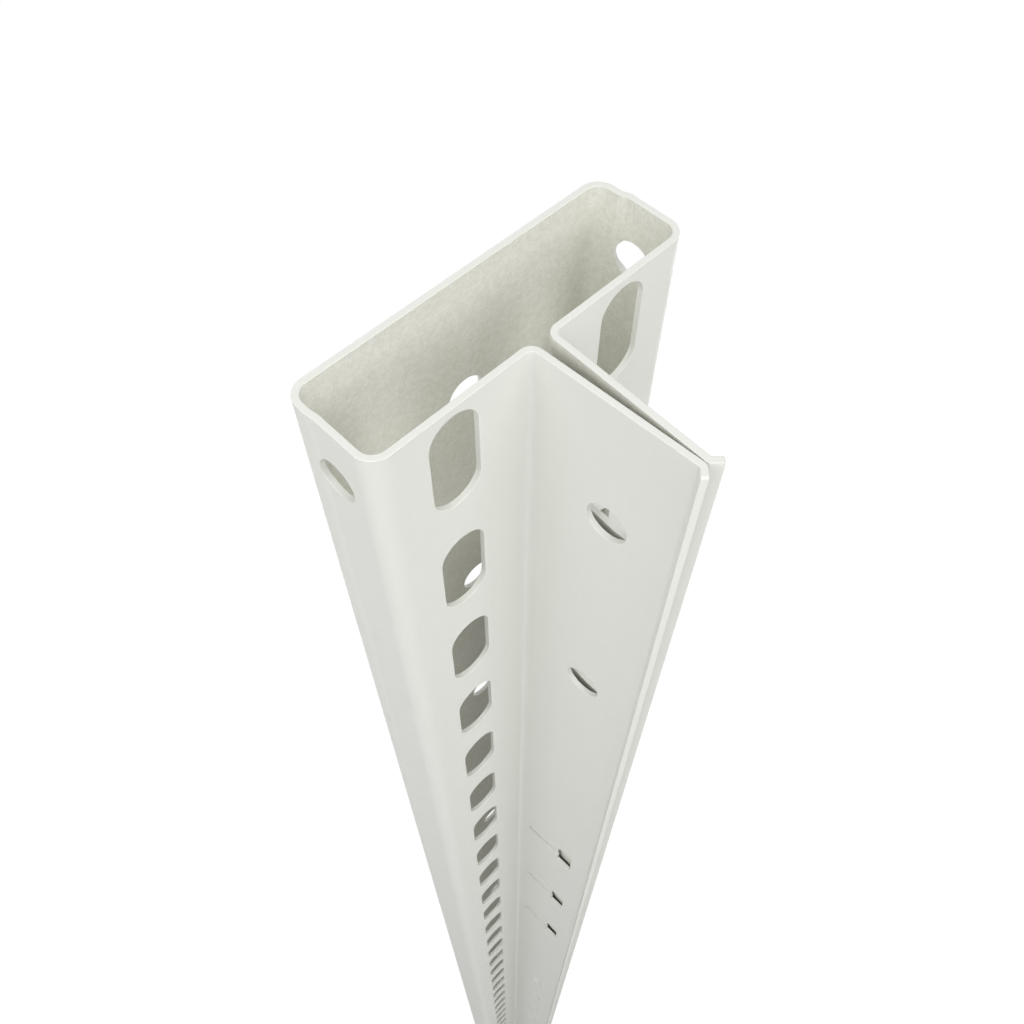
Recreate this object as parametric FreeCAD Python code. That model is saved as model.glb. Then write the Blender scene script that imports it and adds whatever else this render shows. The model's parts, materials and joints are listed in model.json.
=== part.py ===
"""Shelf support profile: one strip bent into a slotted box with a double stem.

Units are millimetres. X runs across the back wall, Y from the flared lips at
the front to the back wall, and Z up the profile. The origin is the middle of
the box around the foot end. The strip starts at the left lip, runs up the
left half of the section, across the back wall and down the right half.
"""
import os

import FreeCAD
import Part
from FreeCAD import Vector
from math import atan2, cos, pi, radians, sin, tan

# Length of stock
LENGTH = 1000.0

# Section
SHEET = 0.9              # thickness of the strip
BOX_WIDTH = 50.6         # over the two side walls
BOX_DEPTH = 14.7         # over the front and back walls
OVERALL_DEPTH = 39.6     # from the back wall's outer face to the lips' ends
CORNER_RADIUS = 1.95     # inside radius of the four box corners
ROOT_RADIUS = 0.85       # inside radius where a front wall turns into the stem
ROOT_GAP = 2.0           # between the two stem flanges at the front walls
TIP_GAP = 0.1            # between them where they close, before the lips
LIP_DEPTH = 1.5          # from the lips' bend to their ends, along Y
LIP_ANGLE = 45.0         # flare of each lip away from the stem's plane
LIP_RADIUS = 0.5         # inside radius of the lips' bend

# Side walls: the rear of each is set over by a shallow step
STEP_FROM_BACK = 4.15    # back wall's outer face to the start of the step
STEP_RUN = 1.2           # length of the sloping part
STEP_RADIUS = 0.25       # inside radius of its two bends
STEP_LEFT = -0.17        # inward shift of the rear of the left wall
STEP_RIGHT = 0.46        # inward shift of the rear of the right wall

# Bracket slots, one column in each front wall
SLOT_WIDTH = 7.5
SLOT_HEIGHT = 16.9
SLOT_SPACING = 27.7      # between the centres of the two columns
SLOT_PITCH = 25.0
TOP_TO_SLOT = 9.8        # top end to the first slot's centre
SLOT_ROUND_ROWS = 6      # rows from the top end whose slots have true round ends

# Rows of holes: the few at each end of a run, where a profile is fixed first,
# are true rounds, and those between them keep the model light with flats
RUN_END_HOLES = 2
END_FLATS = 8            # flats that make up a half-round end
HOLE_PITCH = 50.0        # of the back wall's row and the stem's

# Holes in the walls of the box
SIDE_HOLE_DIAMETER = 6.0
TOP_TO_SIDE_HOLE = 9.4
BACK_HOLE_DIAMETER = 6.0
TOP_TO_BACK_HOLE = 21.4  # top end to the back wall's first hole

# Holes in the stem: round in its left flange, with a long hole behind each
# in its right flange, so that a screw can be set sideways
STEM_HOLE_DIAMETER = 6.5
STEM_HOLE_FROM_BACK = 27.75
TOP_TO_STEM_HOLE = 22.2
STEM_TOP_HOLES = 2       # holes above the plain stretch
STEM_PLAIN_PLACES = 6    # places of the row left without a hole
LONG_HOLE_HEIGHT = 7.0
LONG_HOLE_LENGTH = 15.5

# Tab slots in the left flange: an upright window with an arm that leads to it
TAB_SLOTS = 3
TAB_FIRST_ROW = 7        # slot rows above the first one
TAB_ROW_STEP = 2         # slot rows from one to the next
TAB_WIDTH = 4.4
TAB_HEIGHT = 12.0
TAB_DROP = 0.65          # window's centre below its slot row
TAB_FROM_BACK = 30.3     # back wall's outer face to the window's centre
ARM_LENGTH = 9.9
ARM_HEIGHT = 3.4
ARM_DROP = 0.9           # arm's middle below its slot row

# The least metal left between a slot or hole and the foot end
END_WEB = 2.0

BACK_Y = OVERALL_DEPTH / 2.0
FRONT_WALL_Y = BACK_Y - BOX_DEPTH
HALF_SHEET = SHEET / 2.0


def half_path(side, step):
    """Corners (point, bend radius) of half the section's middle line.

    They run from the lip's end to the box corner at the back wall. side is -1
    for the left half and 1 for the right, and step the inward shift of the
    side wall's rear.
    """
    flare = radians(LIP_ANGLE)
    stem_x = side * (TIP_GAP / 2.0 + HALF_SHEET)
    root_x = side * (ROOT_GAP / 2.0 + HALF_SHEET)
    wall_x = side * (BOX_WIDTH / 2.0 - HALF_SHEET)
    rear_x = wall_x - side * step
    bend_y = LIP_DEPTH - BACK_Y
    tip_y = HALF_SHEET * sin(flare) - BACK_Y
    tip_x = stem_x + side * (bend_y - tip_y) * tan(flare)
    step_y = BACK_Y - STEP_FROM_BACK
    corner = CORNER_RADIUS + HALF_SHEET
    bend = STEP_RADIUS + HALF_SHEET
    return [
        (Vector(tip_x, tip_y), 0.0),
        (Vector(stem_x, bend_y), LIP_RADIUS + HALF_SHEET),
        (Vector(root_x, FRONT_WALL_Y + HALF_SHEET), ROOT_RADIUS + HALF_SHEET),
        (Vector(wall_x, FRONT_WALL_Y + HALF_SHEET), corner),
        (Vector(wall_x, step_y - STEP_RUN), bend),
        (Vector(rear_x, step_y), bend),
        (Vector(rear_x, BACK_Y - HALF_SHEET), corner),
    ]


def strip_side(path, offset):
    """Edges of the middle line's parallel, offset to the left of its run."""
    edges = []
    directions = [(b[0] - a[0]).normalize() for a, b in zip(path, path[1:])]
    start = path[0][0] + left_of(directions[0]) * offset
    for index in range(1, len(path) - 1):
        corner, radius = path[index]
        before = directions[index - 1]
        after = directions[index]
        turn = atan2(before.cross(after).z, before.dot(after))
        hand = 1.0 if turn > 0.0 else -1.0
        reach = radius * tan(abs(turn) / 2.0)
        first = corner - before * reach + left_of(before) * offset
        last = corner + after * reach + left_of(after) * offset
        centre = corner - before * reach + left_of(before) * hand * radius
        bisector = (corner - centre).normalize()
        middle = centre + bisector * (radius - hand * offset)
        edges.append(Part.LineSegment(start, first).toShape())
        edges.append(Part.Arc(first, middle, last).toShape())
        start = last
    end = path[-1][0] + left_of(directions[-1]) * offset
    edges.append(Part.LineSegment(start, end).toShape())
    return edges, end


def left_of(direction):
    """Unit vector to the left of a direction in the section's plane."""
    return Vector(-direction.y, direction.x, 0.0)


def strip_face(path):
    """The section: the middle line thickened by half a sheet on each side."""
    left, left_end = strip_side(path, HALF_SHEET)
    right, right_end = strip_side(path, -HALF_SHEET)
    far_cap = Part.LineSegment(left_end, right_end).toShape()
    near_cap = Part.LineSegment(left[0].Vertexes[0].Point,
                                right[0].Vertexes[0].Point).toShape()
    return Part.Face(Part.Wire(left + [far_cap] + right[::-1] + [near_cap]))


def bent_strip():
    """The full length of the bent strip, before punching."""
    path = half_path(-1, STEP_LEFT) + half_path(1, STEP_RIGHT)[::-1]
    return strip_face(path).extrude(Vector(0.0, 0.0, LENGTH))


def levels(first, pitch, half_height, count=None):
    """Heights of a row of punchings, from first below the top end downwards."""
    heights = []
    height = LENGTH - first
    while height - half_height >= END_WEB and count != len(heights):
        heights.append(height)
        height -= pitch
    return heights


def half_round(centre, bulge, across, radius):
    """Points of a half circle about a centre, from +across by way of bulge to -across."""
    points = []
    for index in range(END_FLATS + 1):
        angle = pi * index / END_FLATS
        points.append(centre + across * (radius * cos(angle)) + bulge * (radius * sin(angle)))
    return points


def arc_through(points):
    """The arc from the first to the last of some points by way of the middle one."""
    return Part.Arc(points[0], points[len(points) // 2], points[-1]).toShape()


def slot_cutter(centre, along, cut, length, width, has_arcs):
    """Tool for a slot that lies along a unit vector and is cut along another vector.

    Its half-round ends are true arcs, or else a row of flats each.
    """
    radius = width / 2.0
    reach = along * (length / 2.0 - radius)
    across = cut.cross(along).normalize()
    head = half_round(centre + reach, along, across, radius)
    tail = half_round(centre - reach, along * -1.0, across * -1.0, radius)
    outline = Part.makePolygon(head + tail + head[:1])
    if has_arcs:
        one_side = Part.LineSegment(head[-1], tail[0]).toShape()
        other_side = Part.LineSegment(tail[-1], head[0]).toShape()
        outline = Part.Wire([arc_through(head), one_side, arc_through(tail), other_side])
    return Part.Face(outline).extrude(cut)


def hole_cutter(centre, cut, diameter, is_round):
    """Tool for a hole cut along a vector: a true cylinder, or else a prism of flats."""
    radius = diameter / 2.0
    if is_round:
        return Part.makeCylinder(radius, cut.Length, centre, cut)
    up = Vector(0.0, 0.0, 1.0)
    across = cut.cross(up).normalize()
    upper = half_round(centre, up, across, radius)
    lower = half_round(centre, up * -1.0, across * -1.0, radius)
    return Part.Face(Part.makePolygon(upper[:-1] + lower)).extrude(cut)


def is_run_end(index, run):
    """Whether a place is one of the first or last few of its run of holes."""
    return index < RUN_END_HOLES or index >= len(run) - RUN_END_HOLES


def bracket_slots():
    """Both columns of slots for the shelf brackets."""
    cutters = []
    up = Vector(0.0, 0.0, 1.0)
    cut = Vector(0.0, 2.0 * SHEET + CORNER_RADIUS, 0.0)
    for x in (-SLOT_SPACING / 2.0, SLOT_SPACING / 2.0):
        for row, z in enumerate(levels(TOP_TO_SLOT, SLOT_PITCH, SLOT_HEIGHT / 2.0)):
            centre = Vector(x, FRONT_WALL_Y - SHEET, z)
            has_arcs = row < SLOT_ROUND_ROWS
            cutters.append(slot_cutter(centre, up, cut, SLOT_HEIGHT, SLOT_WIDTH, has_arcs))
    return cutters


def back_holes():
    """Row of round holes up the middle of the back wall."""
    cut = Vector(0.0, BOX_DEPTH, 0.0)
    y = BACK_Y - BOX_DEPTH / 2.0
    run = levels(TOP_TO_BACK_HOLE, HOLE_PITCH, BACK_HOLE_DIAMETER / 2.0)
    return [
        hole_cutter(Vector(0.0, y, z), cut, BACK_HOLE_DIAMETER, is_run_end(index, run))
        for index, z in enumerate(run)
    ]


def side_hole():
    """One hole through both side walls, level with the first slots."""
    start = Vector(-BOX_WIDTH, BACK_Y - BOX_DEPTH / 2.0, LENGTH - TOP_TO_SIDE_HOLE)
    return hole_cutter(start, Vector(2.0 * BOX_WIDTH, 0.0, 0.0), SIDE_HOLE_DIAMETER, True)


def stem_holes():
    """Holes in the stem above and below a plain stretch: round at the left, long at the right."""
    cutters = []
    to_left = Vector(-BOX_DEPTH, 0.0, 0.0)
    to_right = Vector(BOX_DEPTH, 0.0, 0.0)
    along = Vector(0.0, 1.0, 0.0)
    half_height = max(STEM_HOLE_DIAMETER, LONG_HOLE_HEIGHT) / 2.0
    below = TOP_TO_STEM_HOLE + (STEM_TOP_HOLES + STEM_PLAIN_PLACES) * HOLE_PITCH
    upper_run = levels(TOP_TO_STEM_HOLE, HOLE_PITCH, half_height, STEM_TOP_HOLES)
    lower_run = levels(below, HOLE_PITCH, half_height)
    for run in (upper_run, lower_run):
        for index, z in enumerate(run):
            at = Vector(0.0, BACK_Y - STEM_HOLE_FROM_BACK, z)
            is_round = is_run_end(index, run)
            cutters.append(hole_cutter(at, to_left, STEM_HOLE_DIAMETER, is_round))
            cutters.append(slot_cutter(at, along, to_right, LONG_HOLE_LENGTH, LONG_HOLE_HEIGHT, False))
    return cutters


def tab_slots():
    """Windows in the left flange with the arms that lead to them from its root."""
    cutters = []
    first = TOP_TO_SLOT + TAB_FIRST_ROW * SLOT_PITCH
    y = BACK_Y - TAB_FROM_BACK - TAB_WIDTH / 2.0
    for z in levels(first, TAB_ROW_STEP * SLOT_PITCH, TAB_HEIGHT / 2.0, TAB_SLOTS):
        low = z - TAB_DROP - TAB_HEIGHT / 2.0
        window = Part.makeBox(BOX_DEPTH, TAB_WIDTH, TAB_HEIGHT, Vector(-BOX_DEPTH, y, low))
        arm_at = Vector(-BOX_DEPTH, y + TAB_WIDTH / 2.0, z - ARM_DROP - ARM_HEIGHT / 2.0)
        arm = Part.makeBox(BOX_DEPTH, TAB_WIDTH / 2.0 + ARM_LENGTH, ARM_HEIGHT, arm_at)
        cutters.append(window.fuse(arm))
    return cutters


def upright_profile():
    """The finished profile: the bent strip with all its punchings."""
    cutters = bracket_slots() + back_holes() + [side_hole()] + stem_holes() + tab_slots()
    return bent_strip().cut(cutters)


def main():
    """Build the profile and write its STEP file."""
    os.makedirs("parts", exist_ok=True)
    profile = upright_profile()
    solid = profile.Solids[0]
    solid.exportStep("parts/upright_profile.step")
    box = solid.BoundBox
    print("solids", len(profile.Solids), "valid", solid.isValid())
    print("box", box)
    print("volume", round(solid.Volume, 1))


if __name__ == "__main__":
    main()
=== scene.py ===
"""Shelf support profile in matte enamelled steel, punched flat and folded to its section.

Sizes are in millimetres until a mesh is made. X runs across the back wall, Y from the
flared lips to the back wall and Z up the profile, whose foot end stands on the floor.
In the flat strip, s is the run of strip from the left lip's end.
"""

import json
import logging
import math
from collections.abc import Iterable, Sequence
from dataclasses import dataclass, field
from enum import Flag, IntEnum, auto
from itertools import pairwise

import bpy
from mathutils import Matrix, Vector
from mathutils.geometry import delaunay_2d_cdt

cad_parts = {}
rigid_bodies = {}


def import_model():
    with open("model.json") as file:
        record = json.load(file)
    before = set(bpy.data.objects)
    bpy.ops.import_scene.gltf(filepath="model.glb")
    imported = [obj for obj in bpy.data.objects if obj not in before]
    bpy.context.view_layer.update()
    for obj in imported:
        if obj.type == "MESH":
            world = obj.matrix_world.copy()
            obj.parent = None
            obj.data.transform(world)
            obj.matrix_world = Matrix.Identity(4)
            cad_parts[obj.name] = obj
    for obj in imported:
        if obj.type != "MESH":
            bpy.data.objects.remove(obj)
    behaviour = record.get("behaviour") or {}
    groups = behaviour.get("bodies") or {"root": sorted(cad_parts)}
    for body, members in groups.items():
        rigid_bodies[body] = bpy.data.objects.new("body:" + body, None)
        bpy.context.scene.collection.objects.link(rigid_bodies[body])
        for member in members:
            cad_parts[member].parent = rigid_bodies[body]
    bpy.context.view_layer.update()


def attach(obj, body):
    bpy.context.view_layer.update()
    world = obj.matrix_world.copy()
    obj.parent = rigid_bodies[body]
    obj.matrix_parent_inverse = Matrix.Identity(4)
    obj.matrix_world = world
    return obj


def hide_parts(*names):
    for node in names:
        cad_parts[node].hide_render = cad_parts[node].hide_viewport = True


for startup_object in list(bpy.data.objects):
    bpy.data.objects.remove(startup_object)
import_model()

log = logging.getLogger("profile")

MM = 0.001
CAD_NODE = "upright_profile"
BEND_STEP = math.radians(7.0)
HOLE_STEP = math.radians(7.5)
NOTCH_STEP = math.radians(22.5)
FEWEST_ARC_STEPS = 2
STEP_SLACK = 1e-6
CROSSING_SLACK = 1e-4
TRIANGLE_TOLERANCE = 1e-5
HULL_TRIANGLES = 0
MERGE_DISTANCE = 0.002
NORMAL_ATTRIBUTE = "flat_normal"
FOLDED_ATTRIBUTE = "folded_normal"
FINISH_ATTRIBUTE = "finish"
KIND_ATTRIBUTE = "kind"
SIDE_ATTRIBUTE = "side"
OUTWARD = (0.0, 1.0, 0.0)
UPWARD = (0.0, 0.0, 1.0)
WHITE = (1.0, 1.0, 1.0, 1.0)
MIX_FIRST, MIX_SECOND, MIX_RESULT = 6, 7, 2

Colour = tuple[float, float, float]


class Finish(IntEnum):
    """The finishes of the strip's faces."""

    OUTSIDE = 0
    INSIDE = 1
    # Cut-edge faces take the lighter edge coat, which is a painted highlight and not a different paint.
    CUT_EDGE = 2


class Panel(IntEnum):
    """The straight runs of the section, from the left lip to the right one."""

    LEFT_LIP = 0
    LEFT_FLANGE = 1
    LEFT_FRONT = 2
    LEFT_SIDE = 3
    LEFT_STEP = 4
    LEFT_REAR = 5
    BACK = 6
    RIGHT_REAR = 7
    RIGHT_STEP = 8
    RIGHT_SIDE = 9
    RIGHT_FRONT = 10
    RIGHT_FLANGE = 11
    RIGHT_LIP = 12


class Feature(Flag):
    """What one length of the strip has besides its slots and back hole."""

    NONE = 0
    TOP_END = auto()
    FOOT_END = auto()
    SIDE_HOLES = auto()
    STEM_HOLES = auto()
    TAB_SLOTS = auto()
    LEVEL_MARKS = auto()


@dataclass(frozen=True)
class Corner:
    """A corner of a line in a plane, and the radius that rounds it."""

    place: Vector
    radius: float = 0.0


@dataclass(frozen=True)
class EdgePoint:
    """A point of a line in a plane, and the unit vector to the left of its run."""

    place: Vector
    left: Vector

    def moved(self, distance: float) -> Vector:
        """The place at that distance to the left."""
        return self.place + self.left * distance


def left_of(direction: Vector) -> Vector:
    """The unit vector to the left of a direction in a plane."""
    return Vector((-direction.y, direction.x))


def rounded_corner(before: Vector, corner: Corner, after: Vector, step: float) -> list[EdgePoint]:
    """Points of the arc that rounds a corner.

    Args:
        before: Unit vector of the run into the corner.
        corner: The corner and its radius.
        after: Unit vector of the run out of it.
        step: Largest angle between neighbouring points.

    Returns:
        The arc's points, its two ends included.
    """
    turn = math.atan2(before.cross(after), before.dot(after))
    hand = math.copysign(1.0, turn)
    first = corner.place - before * corner.radius * math.tan(abs(turn) / 2.0)
    centre = first + left_of(before) * hand * corner.radius
    count = max(FEWEST_ARC_STEPS, math.ceil(abs(turn) / step - STEP_SLACK))
    points = []
    for index in range(count + 1):
        angle = turn * index / count
        cosine, sine = math.cos(angle), math.sin(angle)
        direction = Vector((before.x * cosine - before.y * sine, before.x * sine + before.y * cosine))
        left = left_of(direction)
        points.append(EdgePoint(centre - left * hand * corner.radius, left))
    return points


def rounded_line(corners: Sequence[Corner], step: float, is_closed: bool) -> list[list[EdgePoint]]:
    """The arcs of a line with rounded corners.

    Args:
        corners: The line's corners in order.
        step: Largest angle between neighbouring points of an arc.
        is_closed: Whether the last corner runs on to the first.

    Returns:
        One list of points for each corner, with a single point at an open end.
    """
    count = len(corners)
    runs = [
        (corners[(index + 1) % count].place - corners[index].place).normalized()
        for index in range(count if is_closed else count - 1)
    ]
    if is_closed:
        return [rounded_corner(runs[index - 1], corners[index], runs[index], step) for index in range(count)]
    arcs = [[EdgePoint(corners[0].place, left_of(runs[0]))]]
    for index in range(1, count - 1):
        arcs.append(rounded_corner(runs[index - 1], corners[index], runs[index], step))
    arcs.append([EdgePoint(corners[-1].place, left_of(runs[-1]))])
    return arcs


@dataclass(frozen=True)
class Station:
    """A point of the section's middle line, at the run s from the left lip's end."""

    s: float
    point: EdgePoint


@dataclass
class Section:
    """The bent strip's section."""

    sheet: float = 0.9
    box_width: float = 50.6
    box_depth: float = 14.7
    overall_depth: float = 39.6
    corner_radius: float = 1.95
    root_radius: float = 0.85
    root_gap: float = 2.0
    tip_gap: float = 0.1
    lip_depth: float = 1.5
    lip_flare: float = math.radians(45.0)
    lip_radius: float = 0.2
    step_from_back: float = 4.15
    step_run: float = 1.2
    step_radius: float = 0.25
    step_left: float = -0.17
    step_right: float = 0.46
    stations: list[Station] = field(init=False)
    panels: list[tuple[Station, Station]] = field(init=False)

    def __post_init__(self) -> None:
        """Walks the middle line and notes its stations and straight runs."""
        corners = self.half(-1.0, self.step_left) + self.half(1.0, self.step_right)[::-1]
        arcs = rounded_line(corners, BEND_STEP, is_closed=False)
        self.stations = []
        self.panels = []
        run = 0.0
        for arc in arcs:
            for index, point in enumerate(arc):
                if self.stations:
                    run += (point.place - self.stations[-1].point.place).length
                self.stations.append(Station(run, point))
                if index == 0 and len(self.stations) > 1:
                    self.panels.append((self.stations[-2], self.stations[-1]))

    def half(self, hand: float, step: float) -> list[Corner]:
        """Corners of half the middle line.

        Args:
            hand: -1 for the left half, 1 for the right.
            step: Inward shift of the side wall's rear.

        Returns:
            The corners from the lip's end to the box corner at the back wall.
        """
        half_sheet = self.sheet / 2.0
        back_y = self.overall_depth / 2.0
        front_y = back_y - self.box_depth + half_sheet
        stem_x = hand * (self.tip_gap / 2.0 + half_sheet)
        wall_x = hand * (self.box_width / 2.0 - half_sheet)
        rear_x = wall_x - hand * step
        bend_y = self.lip_depth - back_y
        tip_y = half_sheet * math.sin(self.lip_flare) - back_y
        tip_x = stem_x + hand * (bend_y - tip_y) * math.tan(self.lip_flare)
        root_x = hand * (self.root_gap / 2.0 + half_sheet)
        step_y = back_y - self.step_from_back
        corner = self.corner_radius + half_sheet
        bend = self.step_radius + half_sheet
        return [
            Corner(Vector((tip_x, tip_y))),
            Corner(Vector((stem_x, bend_y)), self.lip_radius + half_sheet),
            Corner(Vector((root_x, front_y)), self.root_radius + half_sheet),
            Corner(Vector((wall_x, front_y)), corner),
            Corner(Vector((wall_x, step_y - self.step_run)), bend),
            Corner(Vector((rear_x, step_y)), bend),
            Corner(Vector((rear_x, back_y - half_sheet)), corner),
        ]

    @property
    def width(self) -> float:
        """Width of the flat strip."""
        return self.stations[-1].s

    def at(self, panel: Panel, x: float | None = None, y: float | None = None) -> float:
        """The run s at which the line of a panel reaches an x or a y.

        Args:
            panel: The straight run to measure along.
            x: The x to reach, or None.
            y: The y to reach, where x is None.

        Returns:
            The run from the left lip's end.
        """
        start, end = self.panels[panel]
        axis, value = (1, y) if x is None else (0, x)
        low, high = start.point.place[axis], end.point.place[axis]
        return start.s + (end.s - start.s) * (value - low) / (high - low)

    def line(self, name: str) -> bpy.types.Object:
        """The middle line as an object of edges that carries the left-hand vectors."""
        mesh = bpy.data.meshes.new(name)
        places = [(*(station.point.place * MM), 0.0) for station in self.stations]
        mesh.from_pydata(places, list(pairwise(range(len(places)))), [])
        side = mesh.attributes.new(SIDE_ATTRIBUTE, "FLOAT_VECTOR", "POINT")
        for index, station in enumerate(self.stations):
            side.data[index].vector = (*station.point.left, 0.0)
        return bpy.data.objects.new(name, mesh)


@dataclass
class Outline:
    """A cut edge of the flat strip as points (s, z), run with the metal on its left."""

    points: list[EdgePoint]
    is_closed: bool = True

    @classmethod
    def through(cls, corners: Sequence[Corner], step: float, is_closed: bool = True) -> "Outline":
        """An outline through rounded corners."""
        points: list[EdgePoint] = []
        for point in (point for arc in rounded_line(corners, step, is_closed) for point in arc):
            if not points or (point.place - points[-1].place).length > MERGE_DISTANCE:
                points.append(point)
        if is_closed and (points[0].place - points[-1].place).length <= MERGE_DISTANCE:
            points.pop()
        return cls(points, is_closed)

    @classmethod
    def hole(cls, s: float, z: float, width: float, height: float, radius: float, step: float) -> "Outline":
        """An upright hole with rounded corners.

        Args:
            s: Its centre across the strip.
            z: Its centre up the strip.
            width: Its size across the strip.
            height: Its size up the strip.
            radius: Radius of its four corners.
            step: Largest angle between neighbouring points of a corner.

        Returns:
            The hole's outline.
        """
        across, up = width / 2.0, height / 2.0
        signs = ((-1, 1), (1, 1), (1, -1), (-1, -1))
        return cls.through([Corner(Vector((s + a * across, z + b * up)), radius) for a, b in signs], step)

    def split(self, columns: Iterable[float], inset: float) -> "Outline":
        """The outline with a point wherever its inset line crosses a column.

        Args:
            columns: The runs s of the columns.
            inset: Distance into the metal at which the crossings are found.

        Returns:
            The finer outline.
        """
        ring = self.points + self.points[:1] if self.is_closed else self.points
        points = []
        for start, end in pairwise(ring):
            points.append(start)
            low, high = start.moved(inset).x, end.moved(inset).x
            after, before = min(low, high) + CROSSING_SLACK, max(low, high) - CROSSING_SLACK
            crossed = [s for s in columns if after < s < before]
            for s in sorted(crossed, reverse=high < low):
                share = (s - low) / (high - low)
                place, left = start.place.lerp(end.place, share), start.left.lerp(end.left, share)
                points.append(EdgePoint(place, left))
        if not self.is_closed:
            points.append(ring[-1])
        return Outline(points, self.is_closed)

    def inset(self, distance: float) -> list[Vector]:
        """The outline's points moved into the metal."""
        return [point.moved(distance) for point in self.points]


def is_inside(place: Vector, ring: Sequence[Vector]) -> bool:
    """Whether a place lies inside a closed ring of points."""
    inside = False
    for start, end in zip(ring, [*ring[1:], ring[0]]):
        if (start.y > place.y) != (end.y > place.y):
            crossing = start.x + (place.y - start.y) * (end.x - start.x) / (end.y - start.y)
            inside ^= place.x < crossing
    return inside


@dataclass
class FlatMesh:
    """Faces of the flat strip, with a normal for each vertex and a finish for each face."""

    places: list[tuple[float, float, float]] = field(default_factory=list)
    normals: list[tuple[float, float, float]] = field(default_factory=list)
    faces: list[list[int]] = field(default_factory=list)
    finishes: list[Finish] = field(default_factory=list)

    def vertex(self, s: float, depth: float, z: float, normal: tuple[float, float, float]) -> int:
        """Adds a vertex, in millimetres, and returns its number."""
        self.places.append((s * MM, depth * MM, z * MM))
        self.normals.append(normal)
        return len(self.places) - 1

    def face(self, corners: Sequence[int], finish: Finish) -> None:
        """Adds a face whose corners run anticlockwise seen from outside."""
        self.faces.append(list(corners))
        self.finishes.append(finish)

    def object(self, name: str) -> bpy.types.Object:
        """The faces as an object, with the normals and finishes as attributes."""
        mesh = bpy.data.meshes.new(name)
        mesh.from_pydata(self.places, [], self.faces)
        normals = mesh.attributes.new(NORMAL_ATTRIBUTE, "FLOAT_VECTOR", "POINT")
        normals.data.foreach_set("vector", [value for normal in self.normals for value in normal])
        finishes = mesh.attributes.new(FINISH_ATTRIBUTE, "INT", "FACE")
        finishes.data.foreach_set("value", [int(finish) for finish in self.finishes])
        return bpy.data.objects.new(name, mesh)


@dataclass
class LevelMark:
    """A fine line pressed across the web between two slots.

    Each row of its grid has its place as a share of half the width, its sunk depth as a
    share of the depth, and 1 or -1 where its slope leans up or down.
    """

    length: float = 7.0
    width: float = 0.3
    depth: float = 0.05
    spacing: float = 0.8
    rows: tuple[tuple[float, float, float], ...] = (
        (-1.0, 0.0, 0.0), (-0.5, 0.5, 1.0), (0.0, 1.0, 0.0), (0.5, 0.5, -1.0), (1.0, 0.0, 0.0),
    )

    def ring(self, s: float, z: float) -> list[Vector]:
        """The outline in the skin, with the points of the pressed line's ends."""
        across, up = self.length / 2.0, self.width / 2.0
        right = [Vector((s + across, z + share * up)) for share, *_ in self.rows]
        left = [Vector((s - across, z - share * up)) for share, *_ in self.rows]
        return right + left

    def press(self, flat: FlatMesh, s: float, z: float, skin: float) -> None:
        """Adds the pressed line's faces to the outer skin.

        Args:
            flat: The mesh to add to.
            s: The line's middle across the strip.
            z: Its middle up the strip.
            skin: Depth of the outer skin.
        """
        across, up = self.length / 2.0, self.width / 2.0
        slope = math.atan2(2.0 * self.depth, up)
        columns = ((-across, 0.0), (-across + up, 1.0), (across - up, 1.0), (across, 0.0))
        grid = []
        for share, sunk, lean in self.rows:
            sloped = (0.0, math.cos(slope * abs(lean)), math.sin(slope * lean))
            row = []
            for column, inner in columns:
                depth = skin - self.depth * sunk * inner
                normal = sloped if inner else OUTWARD
                row.append(flat.vertex(s + column, depth, z + share * up, normal))
            grid.append(row)
        for low, high in pairwise(grid):
            for index in range(len(low) - 1):
                flat.face((low[index], high[index], high[index + 1], low[index + 1]), Finish.OUTSIDE)


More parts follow.
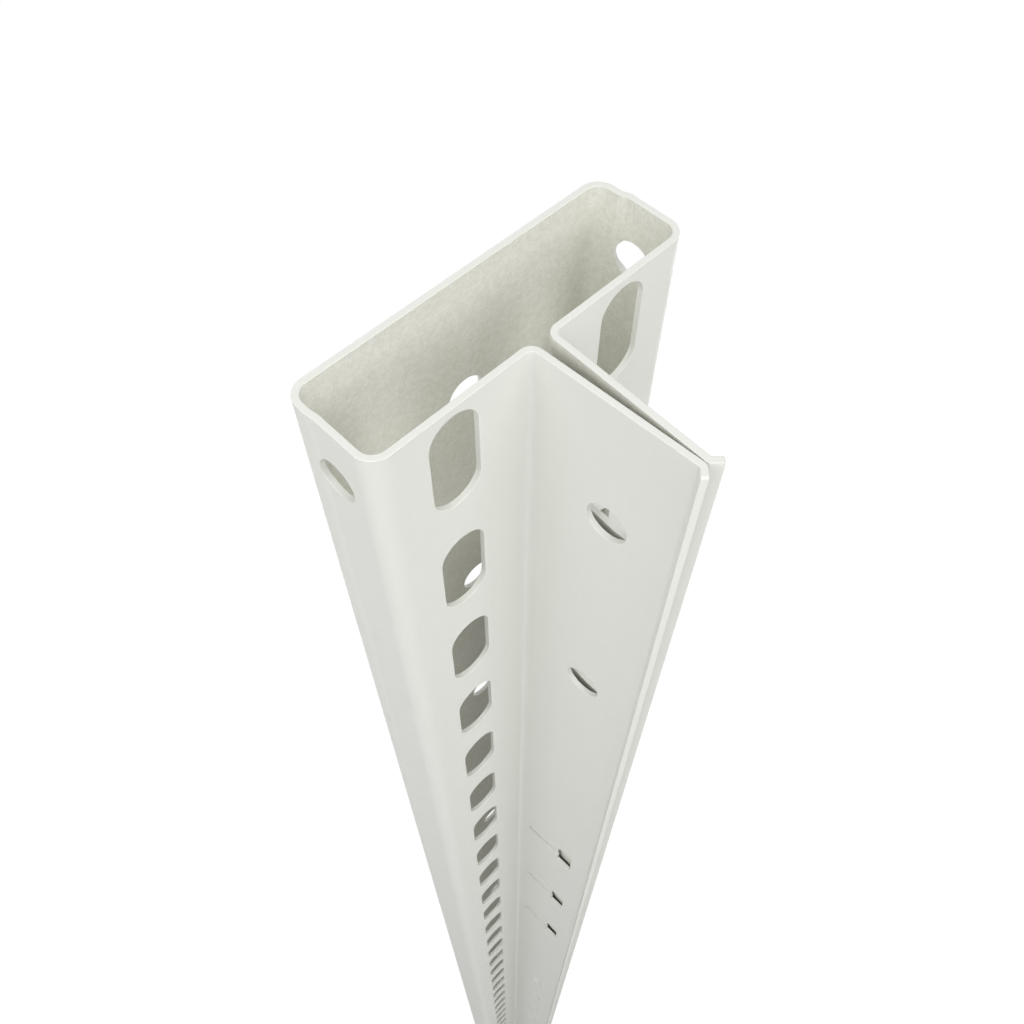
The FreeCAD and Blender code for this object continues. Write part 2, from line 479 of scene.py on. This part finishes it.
@dataclass
class StripLength:
    """One length of the flat strip between two like levels, with its punchings."""

    section: Section
    features: Feature
    pitch: float = 50.0
    edge_radius: float = 0.09
    edge_steps: int = 2
    end_radius: float = 0.35
    slot_width: float = 7.5
    slot_height: float = 16.9
    slot_spacing: float = 27.7
    slot_levels: tuple[float, ...] = (-9.8, -34.8)
    back_hole_level: float = -21.4
    side_hole_level: float = -9.4
    side_hole_from_back: float = 7.35
    hole_diameter: float = 6.0
    stem_hole_level: float = -22.2
    stem_hole_diameter: float = 6.5
    stem_hole_from_back: float = 27.75
    long_hole_height: float = 7.0
    long_hole_length: float = 15.5
    tab_level: float = -34.8
    tab_width: float = 4.4
    tab_height: float = 12.0
    tab_drop: float = 0.65
    tab_from_back: float = 30.3
    tab_corner: float = 0.3
    arm_length: float = 9.9
    arm_height: float = 3.4
    arm_drop: float = 0.9
    mark_level: float = -46.9
    mark: LevelMark = field(default_factory=LevelMark)

    @property
    def back_y(self) -> float:
        """The back wall's outer face."""
        return self.section.overall_depth / 2.0

    @property
    def columns(self) -> list[float]:
        """The runs s of the bends' edges and facets."""
        return [station.s for station in self.section.stations[1:-1]]

    @property
    def slot_columns(self) -> list[float]:
        """The runs s of the left and the right column of slots."""
        half = self.slot_spacing / 2.0
        return [self.section.at(Panel.LEFT_FRONT, x=-half), self.section.at(Panel.RIGHT_FRONT, x=half)]

    def slots(self) -> list[Outline]:
        """The bracket slots in both front walls."""
        width, height = self.slot_width, self.slot_height
        return [
            Outline.hole(s, z, width, height, width / 2.0, HOLE_STEP)
            for s in self.slot_columns
            for z in self.slot_levels
        ]

    def round_hole(self, s: float, z: float, diameter: float) -> Outline:
        """A round hole."""
        return Outline.hole(s, z, diameter, diameter, diameter / 2.0, HOLE_STEP)

    def box_holes(self) -> list[Outline]:
        """The round holes in the back wall and the side walls."""
        at = self.section.at
        outlines = [self.round_hole(at(Panel.BACK, x=0.0), self.back_hole_level, self.hole_diameter)]
        if Feature.SIDE_HOLES in self.features:
            y = self.back_y - self.side_hole_from_back
            for panel in (Panel.LEFT_SIDE, Panel.RIGHT_SIDE):
                outlines.append(self.round_hole(at(panel, y=y), self.side_hole_level, self.hole_diameter))
        return outlines

    def stem_holes(self) -> list[Outline]:
        """The round hole in the left flange and the long one behind it in the right flange."""
        if Feature.STEM_HOLES not in self.features:
            return []
        y, z = self.back_y - self.stem_hole_from_back, self.stem_hole_level
        near = self.section.at(Panel.LEFT_FLANGE, y=y)
        far = self.section.at(Panel.RIGHT_FLANGE, y=y)
        height = self.long_hole_height
        return [
            self.round_hole(near, z, self.stem_hole_diameter),
            Outline.hole(far, z, self.long_hole_length, height, height / 2.0, HOLE_STEP),
        ]

    def tab_slots(self) -> list[Outline]:
        """The window in the left flange with the arm that leads to it from the root."""
        if Feature.TAB_SLOTS not in self.features:
            return []
        s = self.section.at(Panel.LEFT_FLANGE, y=self.back_y - self.tab_from_back)
        left, right = s - self.tab_width / 2.0, s + self.tab_width / 2.0
        end = right + self.arm_length
        top = self.tab_level - self.tab_drop + self.tab_height / 2.0
        foot = top - self.tab_height
        arm_top = self.tab_level - self.arm_drop + self.arm_height / 2.0
        arm_foot = arm_top - self.arm_height
        shape = (
            (left, top), (right, top), (right, arm_top), (end, arm_top),
            (end, arm_foot), (right, arm_foot), (right, foot), (left, foot),
        )
        corners = [Corner(Vector(place), self.tab_corner) for place in shape]
        return [Outline.through(corners, NOTCH_STEP)]

    def borders(self) -> list[Outline]:
        """The strip's own edges: along the lips, and across an end."""
        wide, low = self.section.width, -self.pitch
        left_top, left_foot = Vector((0.0, 0.0)), Vector((0.0, low))
        right_top, right_foot = Vector((wide, 0.0)), Vector((wide, low))
        end = self.end_radius
        if Feature.TOP_END in self.features:
            lines = [((right_foot, 0.0), (right_top, end), (left_top, end), (left_foot, 0.0))]
        elif Feature.FOOT_END in self.features:
            lines = [((left_top, 0.0), (left_foot, end), (right_foot, end), (right_top, 0.0))]
        else:
            lines = [((left_top, 0.0), (left_foot, 0.0)), ((right_foot, 0.0), (right_top, 0.0))]
        return [
            Outline.through([Corner(*corner) for corner in line], NOTCH_STEP, is_closed=False)
            for line in lines
        ]

    def mark_places(self) -> list[tuple[float, float]]:
        """Where the level marks are pressed, as (s, z)."""
        if Feature.LEVEL_MARKS not in self.features:
            return []
        half = self.mark.spacing / 2.0
        return [(s, self.mark_level + shift) for s in self.slot_columns for shift in (-half, half)]

    def band(self, flat: FlatMesh, outline: Outline) -> None:
        """Adds the wall of a cut edge, with its two rounded arrises."""
        half, radius = self.section.sheet / 2.0, self.edge_radius
        angles = [math.pi / 2.0 * step / self.edge_steps for step in range(self.edge_steps + 1)]
        profile = [(angle, 1.0) for angle in angles] + [(angle, -1.0) for angle in angles[::-1]]
        rings = []
        for angle, skin in profile:
            inset = radius * (1.0 - math.sin(angle))
            depth = skin * (half - radius * (1.0 - math.cos(angle)))
            ring = []
            for point in outline.points:
                place = point.moved(inset)
                away = -point.left.normalized() * math.sin(angle)
                ring.append(flat.vertex(place.x, depth, place.y, (away.x, skin * math.cos(angle), away.y)))
            rings.append(ring)
        count = len(outline.points)
        for outer, inner in pairwise(rings):
            for index in range(count if outline.is_closed else count - 1):
                after = (index + 1) % count
                flat.face((outer[index], outer[after], inner[after], inner[index]), Finish.CUT_EDGE)

    def skin(
        self, flat: FlatMesh, outlines: Sequence[Outline], marks: Sequence[list[Vector]], hand: float
    ) -> None:
        """Adds one skin of the strip.

        Args:
            flat: The mesh to add to.
            outlines: All cut edges.
            marks: Closed rings left open for the pressed lines.
            hand: 1 for the outer skin, -1 for the inner one.
        """
        rings = [(outline.inset(self.edge_radius), outline.is_closed) for outline in outlines]
        rings += [(ring, True) for ring in marks]
        places: list[Vector] = []
        edges: list[tuple[int, int]] = []
        for ring, is_closed in rings:
            first = len(places)
            places += ring
            edges += list(pairwise(range(first, first + len(ring))))
            if is_closed:
                edges.append((first + len(ring) - 1, first))
        top = -self.edge_radius if Feature.TOP_END in self.features else 0.0
        foot = -self.pitch + (self.edge_radius if Feature.FOOT_END in self.features else 0.0)
        for s in self.columns:
            places += [Vector((s, top)), Vector((s, foot))]
            edges.append((len(places) - 2, len(places) - 1))
        found, _, triangles, *_ = delaunay_2d_cdt(places, edges, [], HULL_TRIANGLES, TRIANGLE_TOLERANCE)
        holes = [ring for ring, is_closed in rings if is_closed]
        depth = hand * self.section.sheet / 2.0
        numbers = [flat.vertex(place.x, depth, place.y, (0.0, hand, 0.0)) for place in found]
        panels = self.section.panels
        lips_end, lips_start = panels[Panel.LEFT_FLANGE][0].s, panels[Panel.RIGHT_FLANGE][1].s
        for triangle in triangles:
            centre = sum((found[index] for index in triangle), Vector((0.0, 0.0))) / 3.0
            if not any(is_inside(centre, ring) for ring in holes):
                corners = [numbers[index] for index in triangle]
                is_hidden = hand < 0 and lips_end < centre.x < lips_start
                finish = Finish.INSIDE if is_hidden else Finish.OUTSIDE
                flat.face(corners[::-1] if hand > 0 else corners, finish)

    def object(self, name: str) -> bpy.types.Object:
        """The flat length as an object, its top level at z = 0."""
        flat = FlatMesh()
        outlines = self.slots() + self.box_holes() + self.stem_holes() + self.tab_slots() + self.borders()
        outlines = [outline.split(self.columns, self.edge_radius) for outline in outlines]
        for outline in outlines:
            self.band(flat, outline)
        marks = self.mark_places()
        self.skin(flat, outlines, [self.mark.ring(*place) for place in marks], 1.0)
        self.skin(flat, outlines, [], -1.0)
        for place in marks:
            self.mark.press(flat, *place, self.section.sheet / 2.0)
        return flat.object(name)


class NodeBench:
    """Adds nodes to a tree and links them."""

    def __init__(self, tree: bpy.types.NodeTree) -> None:
        """Works on one tree."""
        self.tree = tree

    def add(self, kind: str, inputs: dict | None = None, **settings) -> bpy.types.Node:
        """Adds a node.

        Args:
            kind: The node's type.
            inputs: Values or sockets for its inputs, by name or number.
            settings: The node's own properties.

        Returns:
            The node.
        """
        node = self.tree.nodes.new(kind)
        for name, value in settings.items():
            setattr(node, name, value)
        for key, value in (inputs or {}).items():
            if isinstance(value, bpy.types.NodeSocket):
                self.tree.links.new(value, node.inputs[key])
            else:
                node.inputs[key].default_value = value
        return node

    def number_math(self, operation: str, first, second) -> bpy.types.NodeSocket:
        """The result of a Math node with two inputs."""
        return self.add("ShaderNodeMath", {0: first, 1: second}, operation=operation).outputs[0]

    def vector_math(self, operation: str, first, second) -> bpy.types.NodeSocket:
        """The result of a Vector Math node with two inputs."""
        node = self.add("ShaderNodeVectorMath", {0: first, 1: second}, operation=operation)
        return node.outputs["Vector"]

    def scaled(self, vector, factor: bpy.types.NodeSocket) -> bpy.types.NodeSocket:
        """A vector times a number."""
        node = self.add("ShaderNodeVectorMath", {0: vector, "Scale": factor}, operation="SCALE")
        return node.outputs["Vector"]

    def carried(self, name: str, kind: str) -> bpy.types.NodeSocket:
        """The value of a named attribute."""
        node = self.add("GeometryNodeInputNamedAttribute", {"Name": name}, data_type=kind)
        return node.outputs["Attribute"]


@dataclass
class FoldingTree:
    """Geometry nodes that lay the lengths end to end and fold them along the section."""

    name: str = "fold_strip"

    def interface(self, tree: bpy.types.NodeTree) -> None:
        """Gives the tree its named inputs and its output."""
        sockets = (
            ("Lengths", "NodeSocketCollection"), ("Section line", "NodeSocketObject"),
            ("Top", "NodeSocketFloat"), ("Pitch", "NodeSocketFloat"), ("Merge distance", "NodeSocketFloat"),
            ("Outside", "NodeSocketMaterial"), ("Inside", "NodeSocketMaterial"),
            ("Cut edge painted highlight", "NodeSocketMaterial"),
        )
        tree.interface.new_socket("Geometry", in_out="OUTPUT", socket_type="NodeSocketGeometry")
        tree.interface.new_socket("Geometry", in_out="INPUT", socket_type="NodeSocketGeometry")
        for name, kind in sockets:
            tree.interface.new_socket(name, in_out="INPUT", socket_type=kind)

    def lengths(self, bench: NodeBench, given: bpy.types.NodeOutputs) -> bpy.types.NodeSocket:
        """The flat strip: each point of the input takes the length of its kind."""
        index = bench.add("GeometryNodeInputIndex").outputs[0]
        fall = bench.number_math("MULTIPLY", index, given["Pitch"])
        level = bench.number_math("SUBTRACT", given["Top"], fall)
        place = bench.add("ShaderNodeCombineXYZ", {"Z": level})
        rows = bench.add(
            "GeometryNodeSetPosition", {"Geometry": given["Geometry"], "Position": place.outputs[0]}
        )
        kinds = bench.add(
            "GeometryNodeCollectionInfo", {"Collection": given["Lengths"], "Separate Children": True}
        )
        laid = bench.add(
            "GeometryNodeInstanceOnPoints",
            {
                "Points": rows.outputs[0], "Instance": kinds.outputs[0], "Pick Instance": True,
                "Instance Index": bench.carried(KIND_ATTRIBUTE, "INT"),
            },
        )
        joined = bench.add("GeometryNodeRealizeInstances", {"Geometry": laid.outputs[0]})
        merged = bench.add(
            "GeometryNodeMergeByDistance",
            {"Geometry": joined.outputs[0], "Distance": given["Merge distance"]},
        )
        return merged.outputs[0]

    def fold(
        self, bench: NodeBench, strip: bpy.types.NodeSocket, given: bpy.types.NodeOutputs
    ) -> bpy.types.NodeSocket:
        """The strip folded: s runs along the section line, and the depth to its left."""
        info = bench.add("GeometryNodeObjectInfo", {"Object": given["Section line"]})
        line = bench.add("GeometryNodeMeshToCurve", {"Mesh": info.outputs["Geometry"]})
        flat = bench.add("ShaderNodeSeparateXYZ", {0: bench.add("GeometryNodeInputPosition").outputs[0]})
        sample = bench.add(
            "GeometryNodeSampleCurve",
            {
                "Curves": line.outputs[0], "Value": bench.carried(SIDE_ATTRIBUTE, "FLOAT_VECTOR"),
                "Length": flat.outputs["X"],
            },
            mode="LENGTH", data_type="FLOAT_VECTOR", use_all_curves=True,
        )
        side = sample.outputs["Value"]
        along = bench.vector_math("CROSS_PRODUCT", side, UPWARD)
        normal = bench.add("ShaderNodeSeparateXYZ", {0: bench.carried(NORMAL_ATTRIBUTE, "FLOAT_VECTOR")})
        turned = bench.vector_math(
            "ADD", bench.scaled(along, normal.outputs["X"]), bench.scaled(side, normal.outputs["Y"])
        )
        turned = bench.vector_math("ADD", turned, bench.scaled(UPWARD, normal.outputs["Z"]))
        stored = bench.add(
            "GeometryNodeStoreNamedAttribute",
            {"Geometry": strip, "Name": FOLDED_ATTRIBUTE, "Value": turned}, data_type="FLOAT_VECTOR",
        )
        place = bench.vector_math("ADD", sample.outputs["Position"], bench.scaled(side, flat.outputs["Y"]))
        place = bench.vector_math("ADD", place, bench.scaled(UPWARD, flat.outputs["Z"]))
        folded = bench.add("GeometryNodeSetPosition", {"Geometry": stored.outputs[0], "Position": place})
        return folded.outputs[0]

    def build(self) -> bpy.types.NodeTree:
        """The whole tree."""
        tree = bpy.data.node_groups.new(self.name, "GeometryNodeTree")
        self.interface(tree)
        bench = NodeBench(tree)
        given = bench.add("NodeGroupInput").outputs
        shape = self.fold(bench, self.lengths(bench, given), given)
        shape = bench.add("GeometryNodeRealizeInstances", {"Geometry": shape}).outputs[0]
        finish = bench.carried(FINISH_ATTRIBUTE, "INT")
        inputs = {Finish.OUTSIDE: "Outside", Finish.INSIDE: "Inside", Finish.CUT_EDGE: "Cut edge painted highlight"}
        for kind, name in inputs.items():
            chosen = bench.add(
                "FunctionNodeCompare", {"A": finish, "B": int(kind)}, data_type="INT", operation="EQUAL"
            )
            dressed = bench.add(
                "GeometryNodeSetMaterial",
                {"Geometry": shape, "Selection": chosen.outputs[0], "Material": given[name]},
            )
            shape = dressed.outputs[0]
        bench.add("NodeGroupOutput", {0: shape})
        return tree


@dataclass(frozen=True)
class Enamel:
    """Matte stove enamel on steel strip, smooth outside and mottled where it is thin.

    Lengths are in millimetres. colour is the plain coat and shade the colour of its thin
    places. grain and cloud are the sizes of the fine and the coarse noise, mottle is how
    much shade they bring in and streak how much the fine lines along the strip do.
    """

    name: str
    colour: Colour
    shade: Colour
    grain: float
    cloud: float
    mottle: float
    streak: float
    roughness: float
    relief: float
    grain_share: float = 0.55
    cloud_share: float = 0.45
    streak_width: float = 1.1
    streak_stretch: float = 60.0
    roughness_spread: float = 0.04
    specular: float = 0.4
    noise_roughness: float = 0.55
    noise_range: tuple[float, float] = (0.32, 0.68)

    def noise(
        self, bench: NodeBench, size: float, detail: float, stretch: float = 1.0
    ) -> bpy.types.NodeSocket:
        """Noise of a given size, drawn out along the strip by a factor."""
        place = bench.add("ShaderNodeTexCoord").outputs["Object"]
        scaled = bench.add("ShaderNodeMapping", {"Vector": place, "Scale": (1.0, 1.0, 1.0 / stretch)})
        node = bench.add(
            "ShaderNodeTexNoise",
            {
                "Vector": scaled.outputs[0], "Scale": 1.0 / (size * MM), "Detail": detail,
                "Roughness": self.noise_roughness,
            },
        )
        return node.outputs["Fac"]

    def ranged(
        self, bench: NodeBench, value: bpy.types.NodeSocket, low: float, high: float
    ) -> bpy.types.NodeSocket:
        """A noise value spread over a range."""
        least, most = self.noise_range
        node = bench.add(
            "ShaderNodeMapRange",
            {"Value": value, "From Min": least, "From Max": most, "To Min": low, "To Max": high},
        )
        return node.outputs["Result"]

    def material(self) -> bpy.types.Material:
        """The finish as a material on Object coordinates."""
        material = bpy.data.materials.new(self.name)
        material.use_nodes = True
        material.diffuse_color = (*self.colour, 1.0)
        tree = material.node_tree
        tree.nodes.clear()
        bench = NodeBench(tree)
        grain = self.noise(bench, self.grain, detail=3.0)
        cloud = self.noise(bench, self.cloud, detail=2.0)
        streak = self.noise(bench, self.streak_width, detail=1.0, stretch=self.streak_stretch)
        grained = self.ranged(bench, grain, 0.0, self.grain_share)
        clouded = self.ranged(bench, cloud, 0.0, self.cloud_share)
        mottled = bench.number_math("MULTIPLY", bench.number_math("ADD", grained, clouded), self.mottle)
        share = bench.number_math("ADD", self.ranged(bench, streak, 0.0, self.streak), mottled)
        colour = bench.add(
            "ShaderNodeMix",
            {"Factor": share, MIX_FIRST: (*self.colour, 1.0), MIX_SECOND: (*self.shade, 1.0)},
            data_type="RGBA",
        )
        spread = self.roughness_spread
        rough = self.ranged(bench, cloud, self.roughness - spread, self.roughness + spread)
        relief = {"Strength": 1.0, "Distance": self.relief * MM}
        grit = bench.add("ShaderNodeBump", {"Height": grain, **relief})
        peel = bench.add("ShaderNodeBump", {"Height": cloud, **relief, "Normal": grit.outputs[0]})
        shader = bench.add(
            "ShaderNodeBsdfPrincipled",
            {
                "Base Color": colour.outputs[MIX_RESULT], "Roughness": rough, "Normal": peel.outputs[0],
                "Specular IOR Level": self.specular,
            },
        )
        bench.add("ShaderNodeOutputMaterial", {"Surface": shader.outputs[0]})
        return material


OUTER_COAT = Enamel(
    name="enamel_outside", colour=(0.80, 0.81, 0.76), shade=(0.72, 0.73, 0.68),
    grain=0.5, cloud=3.0, mottle=0.12, streak=0.08, roughness=0.5, relief=0.002,
)
INNER_COAT = Enamel(
    name="enamel_inside", colour=(0.84, 0.84, 0.785), shade=(0.63, 0.63, 0.55),
    grain=0.3, cloud=0.8, mottle=0.8, streak=0.0, roughness=0.5, relief=0.009,
)
# The cut edges carry the same enamel as the outside, a touch lighter: the lighter tone is a painted
# highlight on the lit cut edges.
PAINTED_HIGHLIGHT_EDGE_COAT = Enamel(
    name="enamel_cut_edge_painted_highlight", colour=(0.83, 0.84, 0.79), shade=(0.74, 0.75, 0.69),
    grain=0.35, cloud=2.0, mottle=0.15, streak=0.0, roughness=0.5, relief=0.003,
)


@dataclass
class UprightProfile:
    """The whole profile: the section, the row of lengths and the finishes."""

    section: Section = field(default_factory=Section)
    length: float = 1000.0
    pitch: float = 50.0
    name: str = "profile_strip"
    tab_rows: tuple[int, ...] = (3, 4, 5)
    plain_stem_rows: range = range(2, 8)

    def features(self, row: int, rows: int) -> Feature:
        """What the length in a row has, counted from the top end."""
        found = Feature.NONE
        if row == 0:
            found |= Feature.TOP_END | Feature.SIDE_HOLES
        if row == rows - 1:
            found |= Feature.FOOT_END
        if row not in self.plain_stem_rows:
            found |= Feature.STEM_HOLES
        if row in self.tab_rows:
            found |= Feature.TAB_SLOTS
        if row % 2 == 1 and row < rows - 1:
            found |= Feature.LEVEL_MARKS
        return found

    def lengths(self, kinds: Sequence[Feature]) -> bpy.types.Collection:
        """A collection with a flat length for each set of features, in their order."""
        lengths = bpy.data.collections.new("lengths")
        for number, features in enumerate(kinds):
            piece = StripLength(self.section, features, pitch=self.pitch).object(f"length_{number:02d}")
            lengths.objects.link(piece)
            log.info("length %02d %s: %d faces", number, features, len(piece.data.polygons))
        return lengths

    def rows(self, numbers: Sequence[int]) -> bpy.types.Object:
        """An object with a point for each row, which carries the number of its length."""
        mesh = bpy.data.meshes.new("rows")
        mesh.from_pydata([(0.0, 0.0, 0.0)] * len(numbers), [], [])
        kind = mesh.attributes.new(KIND_ATTRIBUTE, "INT", "POINT")
        kind.data.foreach_set("value", numbers)
        strip = bpy.data.objects.new("strip_rows", mesh)
        bpy.context.scene.collection.objects.link(strip)
        return strip

    def fold(self) -> bpy.types.Object:
        """Lays out and folds the strip, and makes the result a plain mesh."""
        count = round(self.length / self.pitch)
        wanted = [self.features(row, count) for row in range(count)]
        kinds = sorted(set(wanted), key=lambda features: features.value)
        lengths = self.lengths(kinds)
        line = self.section.line("section_line")
        strip = self.rows([kinds.index(features) for features in wanted])
        tree = FoldingTree().build()
        modifier = strip.modifiers.new("fold", "NODES")
        modifier.node_group = tree
        values = {
            "Lengths": lengths, "Section line": line, "Top": self.length * MM, "Pitch": self.pitch * MM,
            "Merge distance": MERGE_DISTANCE * MM, "Outside": OUTER_COAT.material(),
            "Inside": INNER_COAT.material(), "Cut edge painted highlight": PAINTED_HIGHLIGHT_EDGE_COAT.material(),
        }
        for item in tree.interface.items_tree:
            if item.item_type == "SOCKET" and item.in_out == "INPUT" and item.name in values:
                modifier[item.identifier] = values[item.name]
        depsgraph = bpy.context.evaluated_depsgraph_get()
        mesh = bpy.data.meshes.new_from_object(strip.evaluated_get(depsgraph), depsgraph=depsgraph)
        strip.modifiers.remove(modifier)
        for helper in (*lengths.objects, line, strip):
            bpy.data.objects.remove(helper)
        bpy.data.collections.remove(lengths)
        return self.finished(mesh)

    def finished(self, mesh: bpy.types.Mesh) -> bpy.types.Object:
        """Gives the mesh its normals, drops the helper attributes and makes the piece."""
        carried = mesh.attributes[FOLDED_ATTRIBUTE].data
        normals = [Vector(item.vector).normalized() for item in carried]
        mesh.shade_smooth()
        for name in (FOLDED_ATTRIBUTE, NORMAL_ATTRIBUTE, FINISH_ATTRIBUTE, KIND_ATTRIBUTE, SIDE_ATTRIBUTE):
            if name in mesh.attributes:
                mesh.attributes.remove(mesh.attributes[name])
        mesh.normals_split_custom_set_from_vertices(normals)
        mesh.name = self.name
        piece = bpy.data.objects.new(self.name, mesh)
        bpy.context.scene.collection.objects.link(piece)
        return piece

    def build(self) -> bpy.types.Object:
        """Builds the piece and ties it to the frame."""
        piece = self.fold()
        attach(piece, "root")
        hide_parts(CAD_NODE)
        log.info("%s: %d faces", piece.name, len(piece.data.polygons))
        return piece


@dataclass
class AreaLamp:
    """A soft lamp aimed at a point, sizes in metres."""

    name: str
    place: Vector
    target: Vector
    width: float
    height: float
    power: float

    def build(self) -> None:
        """Adds the lamp to the scene."""
        lamp = bpy.data.lights.new(self.name, "AREA")
        lamp.shape = "RECTANGLE"
        lamp.size = self.width
        lamp.size_y = self.height
        lamp.energy = self.power
        holder = bpy.data.objects.new(self.name, lamp)
        holder.location = self.place
        holder.rotation_euler = (self.target - self.place).to_track_quat("-Z", "Y").to_euler()
        holder.visible_camera = False
        bpy.context.scene.collection.objects.link(holder)
        log.info("lamp %s", self.name)


@dataclass
class Studio:
    """White floor, soft light and the camera, sizes in metres."""

    floor_size: float = 8.0
    floor_colour: Colour = (0.85, 0.85, 0.85)
    floor_shown: float = 0.95
    floor_glow: float = 1.04
    ambient: float = 0.468
    strip_width: float = 0.036
    strip_y: float = 0.008
    lens: float = 35.0
    sensor: float = 36.0
    clip_start: float = 0.005
    clip_end: float = 30.0
    camera_place: Vector = field(default_factory=lambda: Vector((-0.05583, -0.04647, 1.08311)))
    camera_look: Vector = field(default_factory=lambda: Vector((0.3788, 0.3837, -0.8422)))

    def seen(self, bench: NodeBench) -> bpy.types.NodeSocket:
        """1 for the rays that show the background itself, 0 for those that light."""
        rays = bench.add("ShaderNodeLightPath").outputs
        shown = bench.number_math("MAXIMUM", rays["Is Camera Ray"], rays["Is Glossy Ray"])
        return bench.number_math("MAXIMUM", shown, rays["Is Transmission Ray"])

    def floor(self) -> None:
        """The white floor, which keeps a faint shadow."""
        half = self.floor_size / 2.0
        mesh = bpy.data.meshes.new("floor")
        corners = [(-half, -half, 0.0), (half, -half, 0.0), (half, half, 0.0), (-half, half, 0.0)]
        mesh.from_pydata(corners, [], [(0, 1, 2, 3)])
        material = bpy.data.materials.new("white_floor")
        material.use_nodes = True
        tree = material.node_tree
        tree.nodes.clear()
        bench = NodeBench(tree)
        matte = bench.add("ShaderNodeBsdfDiffuse", {"Color": (*self.floor_colour, 1.0)})
        glow = bench.add("ShaderNodeEmission", {"Color": WHITE, "Strength": self.floor_glow})
        share = bench.number_math("MULTIPLY", self.seen(bench), self.floor_shown)
        mixed = bench.add("ShaderNodeMixShader", {0: share, 1: matte.outputs[0], 2: glow.outputs[0]})
        bench.add("ShaderNodeOutputMaterial", {"Surface": mixed.outputs[0]})
        mesh.materials.append(material)
        floor = bpy.data.objects.new("floor", mesh)
        bpy.context.scene.collection.objects.link(floor)
        log.info("floor")

    def world(self) -> None:
        """A white background with an even, plain light of its own."""
        world = bpy.data.worlds.new("studio")
        world.use_nodes = True
        tree = world.node_tree
        tree.nodes.clear()
        bench = NodeBench(tree)
        light = bench.add("ShaderNodeBackground", {"Color": WHITE, "Strength": self.ambient})
        white = bench.add("ShaderNodeBackground", {"Color": WHITE, "Strength": 1.0})
        mixed = bench.add(
            "ShaderNodeMixShader", {0: self.seen(bench), 1: light.outputs[0], 2: white.outputs[0]}
        )
        bench.add("ShaderNodeOutputWorld", {"Surface": mixed.outputs[0]})
        bpy.context.scene.world = world

    def strip_lamp(self, name: str, x: float, low: float, high: float, power: float) -> AreaLamp:
        """An upright strip lamp in the box, which lights its back wall.

        Args:
            name: The lamp's name.
            x: Its place across the box.
            low: Height of its lower end.
            high: Height of its upper end.
            power: Its power in watts.

        Returns:
            The lamp.
        """
        middle = Vector((x, self.strip_y, (low + high) / 2.0))
        return AreaLamp(name, middle, middle + Vector(OUTWARD), self.strip_width, high - low, power)

    def lamps(self) -> list[AreaLamp]:
        """Soft lamps round the top end, and two strip lamps that fill the channel."""
        top, middle = Vector((0.0, 0.0, 0.92)), Vector((0.0, 0.0, 0.55))
        return [
            AreaLamp("front", Vector((0.1, -0.75, 1.45)), top, width=0.5, height=0.5, power=2.34),
            AreaLamp("left", Vector((-0.45, 0.0, 1.25)), top, width=0.4, height=0.4, power=1.2),
            AreaLamp("near_front", Vector((-0.15, -0.45, 1.3)), top, width=0.4, height=0.4, power=0.8),
            AreaLamp("top", Vector((0.0, 0.012, 1.3)), top, width=0.12, height=0.12, power=0.08),
            AreaLamp("right", Vector((0.6, 0.1, 0.55)), middle, width=0.4, height=0.5, power=1.0),
            self.strip_lamp("channel", x=0.0, low=0.02, high=0.955, power=0.0108),
            self.strip_lamp("channel_top", x=-0.005, low=0.945, high=0.992, power=0.0013),
        ]

    def camera(self) -> None:
        """The camera close above the top end, looking down the profile."""
        data = bpy.data.cameras.new("camera")
        data.lens = self.lens
        data.sensor_width = self.sensor
        data.sensor_fit = "HORIZONTAL"
        data.clip_start = self.clip_start
        data.clip_end = self.clip_end
        holder = bpy.data.objects.new("camera", data)
        holder.location = self.camera_place
        holder.rotation_euler = self.camera_look.to_track_quat("-Z", "Y").to_euler()
        bpy.context.scene.collection.objects.link(holder)
        bpy.context.scene.camera = holder

    def build(self) -> None:
        """Sets up the whole studio."""
        bpy.context.scene.view_settings.view_transform = "Standard"
        self.world()
        self.floor()
        for lamp in self.lamps():
            lamp.build()
        self.camera()


def main() -> None:
    """Builds the profile and its studio."""
    logging.basicConfig(level=logging.INFO, format="%(name)s: %(message)s")
    UprightProfile().build()
    Studio().build()


if __name__ == "__main__":
    main()
